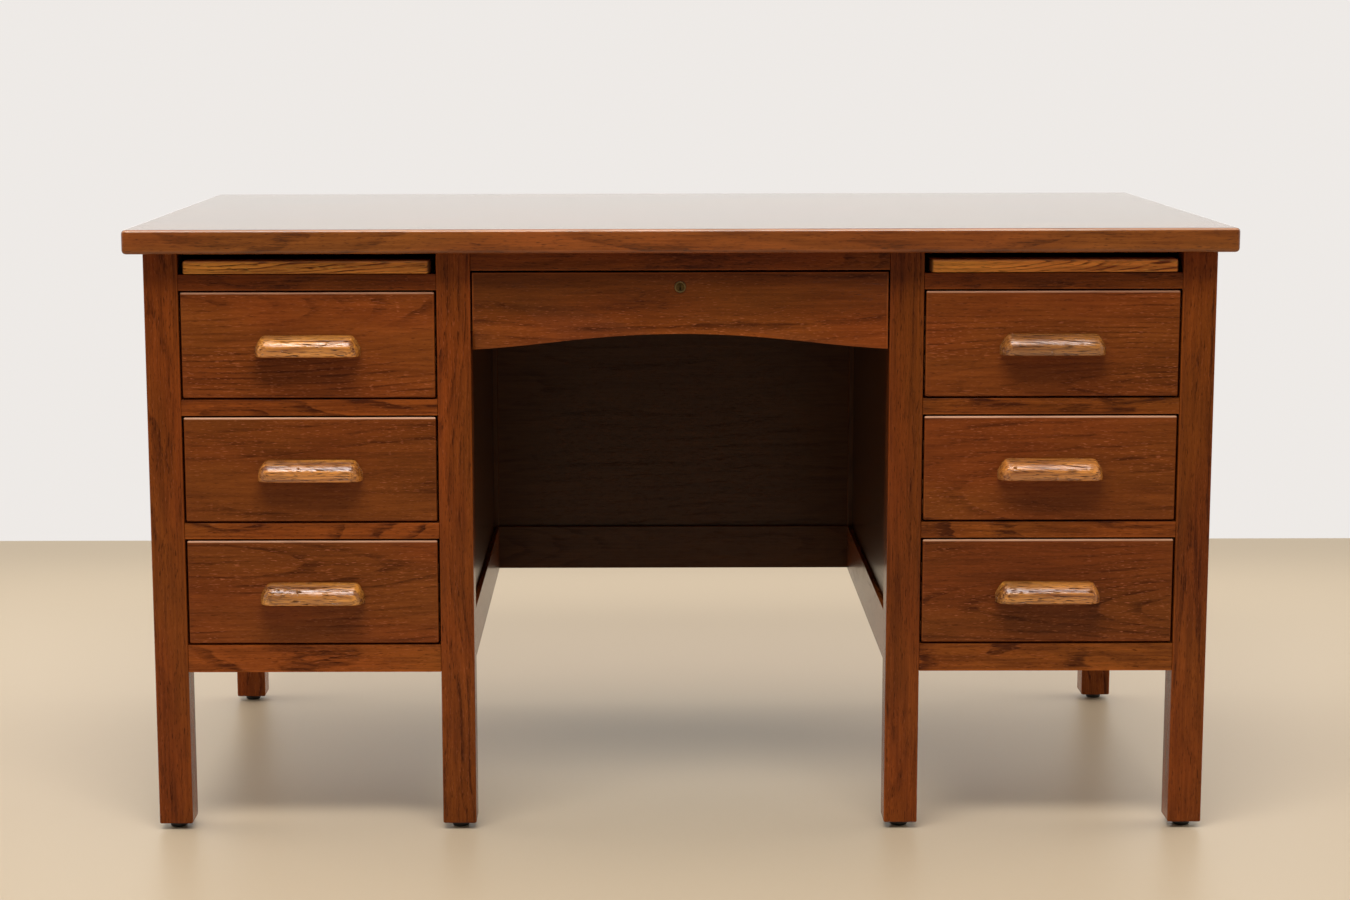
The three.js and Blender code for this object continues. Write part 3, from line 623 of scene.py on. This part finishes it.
# Top tone of the two right front legs: painted shade, as the desktop shades them more on the right.
SHADED_LEG_TOPS = {"leg_front_inner_right": 0.78, "leg_front_outer_right": 0.90}
GLIDE_PROFILE = ((0, 0), (0.008, 0), (0.0100, 0.0006), (0.0109, 0.0020), (0.011, 0.0040), (0.011, 0.008),
                 (0, 0.008))


def make_legs():
    for side, _ in SIDES:
        for where in ("front_outer", "front_inner", "rear"):
            leg = f"leg_{where}_{side}"
            low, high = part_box(leg)
            # Each leg's tone rises to low_tone at its foot: painted shade, darker at the top under the
            # desktop's overhang.
            wooden_block(leg + "_post", low, high, "root", [leg], "frame_oak", "frame", "post", ease=0.0024,
                         ring=0.0055, heart=random_heart(0.03, 0.04, 0.09), taper=seeds.uniform(-0.02, 0.02),
                         tone=SHADED_LEG_TOPS.get(leg, LEG_TONE), low_tone=1.08)
            glide = f"glide_{where}_{side}"
            glide_low, glide_high = corners_of(glide)
            centre = (glide_low + glide_high) / 2
            dome = moved(lathe_mesh(GLIDE_PROFILE), (centre.x, centre.y, 0))
            smooth(add_object(glide + "_dome", dome, "root", [glide], BLACK))


# Stain, and tone at the left and at the right.
FRONT_RAILS = {
    # board_rail's low tone is painted shade under the desktop's overhang.
    "board_rail": ("frame", 0.82, 0.82),
    "upper_rail": ("rail", 1.06, 0.86),
    "lower_rail": ("rail", 1.0, 1.0),
    "bottom_rail": ("rail", 1.05, 1.05),
}


def make_frame():
    legs_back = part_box("leg_front_outer_left")[1][1]
    for side, sign in SIDES:
        for name, (stain, left_tone, right_tone) in FRONT_RAILS.items():
            carry_over(f"{name}_{side}", stain, "rail", ring=0.0045, heart=random_heart(0.03, 0.03, 0.06),
                       taper=0.03, tone=left_tone if sign < 0 else right_tone, bare_behind=legs_back)
        for name in ("end_rail", "kneehole_rail"):
            carry_over(f"{name}_{side}", "frame", "runner", ring=0.006, tone=0.9, wear=0.15)
        carry_over(f"kneehole_panel_{side}", "panel", "side_panel", ease=0.0005, ring=0.012)
        carry_over(f"rear_post_{side}", "panel", "post", wear=0.0)
        carry_over(f"centre_drawer_runner_{side}", "bare", "runner")
    # The apron's low tone is painted shade under the desktop's overhang.
    carry_over("apron", "frame", "rail", tone=0.85)
    carry_over("back_bottom_rail", "frame", "rail", tone=0.9, dark_inside="-Y")


TOP_RAIL_HEIGHT = 0.064
LEAF_HALF = 0.003


def make_ends():
    """The outer sides: a top rail and a thin leaf in place of each CAD end panel."""
    for side, sign in SIDES:
        panel = f"end_panel_{side}"
        low, high = corners_of(panel)
        rail_low, rail_high = corners_of(f"end_rail_{side}")
        middle = (rail_low.x + rail_high.x) / 2
        front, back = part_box(f"leg_front_outer_{side}")[1][1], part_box(f"leg_rear_{side}")[0][1]
        wooden_block(f"end_top_rail_{side}", (rail_low.x, front, high.z - TOP_RAIL_HEIGHT),
                     (rail_high.x, back, high.z), "root", [panel], "frame_oak", "frame", "runner",
                     ring=0.006)
        wooden_block(f"end_leaf_{side}", (middle - LEAF_HALF, low.y, low.z),
                     (middle + LEAF_HALF, high.y, high.z - 0.001), "root", [panel], "panel_oak", "frame",
                     "side_panel", ease=0.0005, ring=0.012, tone=0.8, dark_inside="+X" if sign < 0 else "-X")


def make_back():
    """The back: a top rail, two stiles and three thin leaves in place of the CAD back panel."""
    low, high = corners_of("back_panel")
    middle = (low.y + high.y) / 2
    leg_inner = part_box("leg_rear_right")[0][0]
    rail_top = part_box("back_bottom_rail")[1][2]
    stile_inner, stile_width = 0.263, 0.040
    tongue = 0.004

    def framing(name, x0, x1, z0, z1, axes, **figure):
        wooden_block(name, (x0, low.y, z0), (x1, high.y, z1), "root", ["back_panel"], "frame_oak", "frame",
                     axes, ring=0.006, tone=0.9, dark_inside="-Y", **figure)

    def leaf(name, x0, x1, axes, ring):
        wooden_block(name, (x0, middle - LEAF_HALF, low.z), (x1, middle + LEAF_HALF, high.z - 0.05), "root",
                     ["back_panel"], "panel_oak", "frame", axes, ease=0.0005, ring=ring, tone=0.8,
                     dark_inside="-Y")

    framing("back_top_rail", -leg_inner, leg_inner, high.z - TOP_RAIL_HEIGHT, high.z, "rail")
    for side, sign in SIDES:
        x0, x1 = sorted((sign * stile_inner, sign * (stile_inner + stile_width)))
        framing(f"back_stile_{side}", x0, x1, rail_top, high.z - TOP_RAIL_HEIGHT, "post", wear=0.0)
        x0, x1 = sorted((sign * (stile_inner + stile_width - tongue), sign * (leg_inner - 0.002)))
        leaf(f"back_leaf_{side}", x0, x1, "side_panel", 0.012)
    leaf("back_leaf_middle", -stile_inner - tongue, stile_inner + tongue, "back_panel", 0.014)


# ---- writing boards ------------------------------------------------------------------------------------


def make_boards():
    """Each board: a leaf, and a front lip rounded at its inner corner."""
    lip = 0.030
    play = 0.0003
    for side, sign in SIDES:
        body = f"writing_board_{side}"
        low, high = corners_of(body)
        inner_x = high.x if sign < 0 else low.x

        def inner_front(edge):
            a = edge.verts[0].co
            return vertical(edge) and abs(a.x - inner_x) < 1e-4 and a.y < low.y + 1e-4

        wooden_block(body + "_lip", low, (high.x, low.y + lip, high.z), body, [body], "board_oak", "board",
                     "rail", ease=0.0028, bevels=[(inner_front, 0.0075)], ring=0.0030, heart=(0.01, 0.03),
                     taper=0.02, wear=0.25, coarse=1.5, glint=0.35, tone=1.02 if sign < 0 else 1.20)
        wooden_block(body + "_leaf", (low.x, low.y + lip, low.z + play), (high.x, high.y, high.z - play),
                     body, [body], "board_oak", "leaf", "leaf", ease=0.0008, ring=0.010, heart=(0.02, 0.06),
                     wear=0.1)


# ---- drawers --------------------------------------------------------------------------------------------


PULL_REACH, PULL_HEIGHT, PULL_HALF = 0.0275, 0.0265, 0.0655
PULL_STEPS = 16


def pull_section(face, middle, reach, height, cove):
    """Side view of a pull from its top at the drawer face, round the nose and back under it, as (y, z)
    points. The numbers are millimetres of the full section, from the nose and from its top or foot."""
    s, h = reach / PULL_REACH * 0.001, height / PULL_HEIGHT * 0.001
    top, low, nose = middle + height / 2, middle - height / 2, face - reach
    shoulder = (nose + 9.5 * s, top - 4.0 * h)
    brow = (nose + 0.6 * s, top - 14.0 * h)
    chin = (nose + 1.2 * s, low + 3.2 * h)
    lip = (nose + 4.8 * s, low)
    heel = (nose + 8.8 * s, low + 3.0 * h)
    roof = (nose + 15.0 * s, low + cove)
    root = (face - 3.0 * s, low + 4.0 * h)
    points = []
    for start, control, end, steps in (
            ((face, top - 1.2 * h), (face - 10.0 * s, top + 0.6 * h), shoulder, 8),
            (shoulder, (nose + 3.0 * s, top - 7.8 * h), brow, 8),
            (brow, (nose - 0.1 * s, low + 8.0 * h), chin, 4),
            (chin, (nose + 1.8 * s, low), lip, 4),
            (lip, (nose + 7.8 * s, low), heel, 4),
            (heel, (nose + 10.5 * s, low + cove), roof, 5),
            (roof, (face - 5.0 * s, low + cove), root, 5)):
        for step in range(steps):
            t = step / steps
            points.append([(1 - t) ** 2 * a + 2 * t * (1 - t) * b + t * t * c
                           for a, b, c in zip(start, control, end)])
    return points + [root, (face, low + 2.5 * h)]


def pull_mesh(centre_x, face, middle):
    """A bar pull: its section carried along x, rounded off and dropped towards both ends."""
    form = bmesh.new()
    rings = []
    for step in range(-PULL_STEPS, PULL_STEPS + 1):
        u = step / PULL_STEPS
        x = math.copysign(1 - (1 - abs(u)) ** 1.9, u) * PULL_HALF if u else 0.0
        rounding = max(0.0, (abs(x) - 0.046) / (PULL_HALF - 0.046))
        reach = PULL_REACH * max(0.06, (1 - rounding ** 2.6) ** (1 / 2.6))
        drop = 0.0165 * max(0.0, (abs(x) - 0.0540) / (PULL_HALF - 0.0540)) ** 1.6
        fade = 1 - max(0.0, min(1.0, (abs(x) - 0.048) / 0.008))
        cove = 0.0015 + 0.0095 * fade
        outline = pull_section(face, middle - drop / 2, reach, PULL_HEIGHT - drop, cove)
        rings.append([form.verts.new((centre_x + x, y, z)) for y, z in outline])
    skin(form, rings)
    form.faces.new(rings[0])
    form.faces.new(rings[-1])
    bmesh.ops.recalc_face_normals(form, faces=form.faces)
    return mesh_from(form, "pull")


SIDE_WIDTH = 0.012
TAIL_COUNT = 4
TAIL_REACH = 0.013
TAIL_PROUD = 0.0002


def dovetails(x_outer, sign, front_back, low, high):
    """The tails of a drawer side, let into the end of the drawer front and just proud of it."""
    tails = []
    pitch = (high - low) / TAIL_COUNT
    outer, inner = x_outer + sign * TAIL_PROUD, x_outer - sign * SIDE_WIDTH
    for index in range(TAIL_COUNT):
        middle = low + pitch * (index + 0.5)
        form = bmesh.new()
        rings = []
        for y, half in ((front_back, pitch * 0.26), (front_back - TAIL_REACH, pitch * 0.38)):
            corners = ((outer, middle + half), (outer, middle - half), (inner, middle - half),
                       (inner, middle + half))
            rings.append([form.verts.new((x, y, z)) for x, z in corners])
        skin(form, rings)
        for ring in rings:
            form.faces.new(ring)
        bmesh.ops.recalc_face_normals(form, faces=form.faces)
        tails.append(mesh_from(form, "tail"))
    return tails


def make_tray(box_node, body, tone=1.0):
    """A drawer box in place of the CAD one: two dovetailed sides, a back and a bottom let into the sides."""
    low, high = corners_of(box_node)
    bottom_low, bottom_high = low.z + 0.010, low.z + 0.015
    groove = 0.004
    inset = 0.006
    for hand, sign in SIDES:
        outer = low.x if sign < 0 else high.x
        x0, x1 = sorted((outer, outer - sign * SIDE_WIDTH))
        side_low, side_high = (x0, low.y, low.z), (x1, high.y, high.z)
        tails = dovetails(outer, sign, low.y, low.z + inset, high.z - inset)
        mesh = joined([block_mesh(side_low, side_high, 0.0015)] + tails)
        # gap_shade_before gives the tails' front ends some drawer stain: painted shade of the gap beside the
        # drawer front.
        material = oak(f"{box_node}_side_{hand}_wood", "bare", "runner", side_low, side_high,
                       ring=0.009, heart=random_heart(), tone=tone * seeds.uniform(0.9, 1.05), wear=0.15,
                       gap_shade_before=low.y)
        smooth(add_object(f"{box_node}_side_{hand}", mesh, body, [box_node], material))
    left, right = low.x + SIDE_WIDTH - groove, high.x - SIDE_WIDTH + groove
    back_face = high.y - 0.0005
    wooden_block(f"{box_node}_back", (left, high.y - SIDE_WIDTH, bottom_high),
                 (right, back_face, high.z - inset), body, [box_node], "secondary_wood", "bare", "rail",
                 ring=0.009, tone=tone, wear=0.15)
    wooden_block(f"{box_node}_bottom", (left, low.y, bottom_low), (right, back_face, bottom_high),
                 body, [box_node], "secondary_wood", "bare", "top", ease=0.0, ring=0.016, tone=tone * 1.05,
                 wear=0.0)


SCREW_PROFILE = ((0, -0.0002), (0.0046, -0.0002), (0.0045, 0.0008), (0.0036, 0.0019), (0.0020, 0.0025),
                 (0, 0.0027))


def screw_heads(body, name, places, face_y):
    """Round screw heads on a face that looks to the back, at (x, z) places."""
    heads = [moved(lathe_mesh(SCREW_PROFILE, 20), (x, face_y, z), lambda u, v, out: (-u, out, v))
             for x, z in places]
    smooth(add_object(name, joined(heads), body, None, STEEL))


# By level: ring spacing and painted highlight strength on the upper arris of the fronts, tone of the fronts
# and the trays.
FRONT_RINGS = (0.0075, 0.016, 0.0085)
FRONT_PAINTED_HIGHLIGHTS = (0.40, 0.72, 0.60)
FRONT_TONES = {"left": (1.06, 0.93, 1.00), "right": (0.93, 0.98, 0.80)}
TRAY_TONES = (1.0, 0.95, 0.9)
DARKER_PULLS = {"drawer_pull_upper_right": 0.62}


def make_drawers():
    for side, _ in SIDES:
        for index, level in enumerate(LEVELS):
            body = f"drawer_{level}_{side}"
            front = f"drawer_front_{level}_{side}"
            low, high = corners_of(front)
            heart = (seeds.uniform(-0.06, 0.06), seeds.uniform(0.02, 0.05))
            taper = seeds.choice((-1, 1)) * seeds.uniform(0.05, 0.12)
            wooden_block(front + "_board", low, high, body, [front], "drawer_oak", "drawer", "rail",
                         ease=0.0024, ring=FRONT_RINGS[index], heart=heart, taper=taper,
                         glint=FRONT_PAINTED_HIGHLIGHTS[index], tone=FRONT_TONES[side][index])
            make_tray(f"drawer_box_{level}_{side}", body, TRAY_TONES[index])
            pull = f"drawer_pull_{level}_{side}"
            pull_low, pull_high = corners_of(pull)
            centre = (pull_low + pull_high) / 2
            # painted_top_shade darkens the pull's upper faces: painted shade against the light from above.
            material = oak(pull + "_wood", "pull", "rail", pull_low, pull_high, ring=0.0035,
                           heart=(0.0, 0.02), taper=0.02, tone=DARKER_PULLS.get(pull, 1.0), wear=0.0,
                           painted_top_shade=0.72, coarse=1.25)
            bar = pull_mesh(centre.x, low.y, centre.z)
            smooth(add_object(pull + "_bar", bar, body, [pull], material))
            screws = [(centre.x - 0.038, centre.z), (centre.x + 0.038, centre.z)]
            screw_heads(body, pull + "_screws", screws, high.y)


def make_centre_drawer():
    # Its tone rises from tone higher up to low_tone at the foot: painted shade under the desktop's overhang.
    carry_over("centre_drawer_front", "drawer", "rail", ease=0.0022, ring=0.015, heart=(0.02, 0.04),
               taper=0.05, tone=0.64, low_tone=1.15)
    make_tray("centre_drawer_box", "centre_drawer")


# ---- lock -----------------------------------------------------------------------------------------------


PLATE_SCREW_PROFILE = ((0, -0.0002), (0.0028, -0.0002), (0.0026, 0.0004), (0.0012, 0.0007), (0, 0.0007))


def plate_with_slot(low, high, slot_low, slot_high):
    """A flat plate with an oblong hole; the slot corners are (x, y) pairs."""
    form = bmesh.new()
    rings = []
    for (x0, y0), (x1, y1), z in ((low[:2], high[:2], low[2]), (low[:2], high[:2], high[2]),
                                  (slot_low, slot_high, high[2]), (slot_low, slot_high, low[2])):
        rings.append([form.verts.new((x, y, z)) for x, y in ((x0, y0), (x1, y0), (x1, y1), (x0, y1))])
    skin(form, rings + rings[:1])
    bmesh.ops.recalc_face_normals(form, faces=form.faces)
    return mesh_from(form, "plate")


def bolt_plate(name, body, half_length, margin, foot, head, outward):
    """A brass plate that the bolt passes, with a screw at each end on the side that outward says."""
    gap = 0.0006
    bolt_low, bolt_high = corners_of("lock_bolt")
    slot_low, slot_high = (bolt_low.x - gap, bolt_low.y - gap), (bolt_high.x + gap, bolt_high.y + gap)
    low, high = (-half_length, slot_low[1] - margin, foot), (half_length, slot_high[1] + margin, head)
    add_object(name, plate_with_slot(low, high, slot_low, slot_high), body, None, BRASS)
    face = head if outward > 0 else foot
    heads = [moved(lathe_mesh(PLATE_SCREW_PROFILE, 16), (x, (low[1] + high[1]) / 2, face),
                   lambda u, v, out: (u, outward * v, outward * out))
             for x in (-half_length + 0.006, half_length - 0.006)]
    smooth(add_object(name + "_screws", joined(heads), body, None, STEEL))


def make_lock():
    """The brass plug and bolt, the ring round the keyway, the plates that the bolt passes and the case."""
    for name in ("lock_plug", "lock_bolt"):
        piece = NODES[name]
        piece.data.materials.clear()
        piece.data.materials.append(BRASS)
    front_high = corners_of("centre_drawer_front")[1]
    apron_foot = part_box("apron")[0][2]
    plug_low, plug_high = corners_of("lock_plug")
    plug_middle = (plug_low + plug_high) / 2
    outer = (plug_high.x - plug_low.x) / 2
    inner = outer - 0.0018
    profile = ((inner, 0), (outer, 0), (outer, 0.0003), (outer - 0.0005, 0.0006), (inner + 0.0003, 0.0006),
               (inner, 0.0003), (inner, 0))
    ring = moved(lathe_mesh(profile), (plug_middle.x, plug_low.y - 0.00002, plug_middle.z),
                 lambda u, v, out: (u, -out, v))
    smooth(add_object("lock_ring", ring, "centre_drawer", None, RUBBED_BRASS))

    top = front_high.z
    bolt_plate("lock_selvage", "centre_drawer", 0.026, 0.0036, top - 0.0012, top + 0.0003, 1)
    bolt_plate("lock_strike", "root", 0.022, 0.0045, apron_foot - 0.0003, apron_foot + 0.0009, -1)
    case_half = 0.026
    case = block_mesh((-case_half, front_high.y - 0.0004, plug_low.z - 0.012),
                      (case_half, front_high.y + 0.0012, top - 0.0016), 0.0005, 2)
    smooth(add_object("lock_case", case, "centre_drawer", None, BRASS))
    corners = [(x, z) for x in (-0.021, 0.021) for z in (plug_low.z - 0.006, top - 0.008)]
    screw_heads("centre_drawer", "lock_case_screws", corners, front_high.y + 0.0011)


set_studio()
make_desktop()
make_legs()
make_frame()
make_ends()
make_back()
make_boards()
make_drawers()
make_centre_drawer()
make_lock()

bpy.context.view_layer.update()
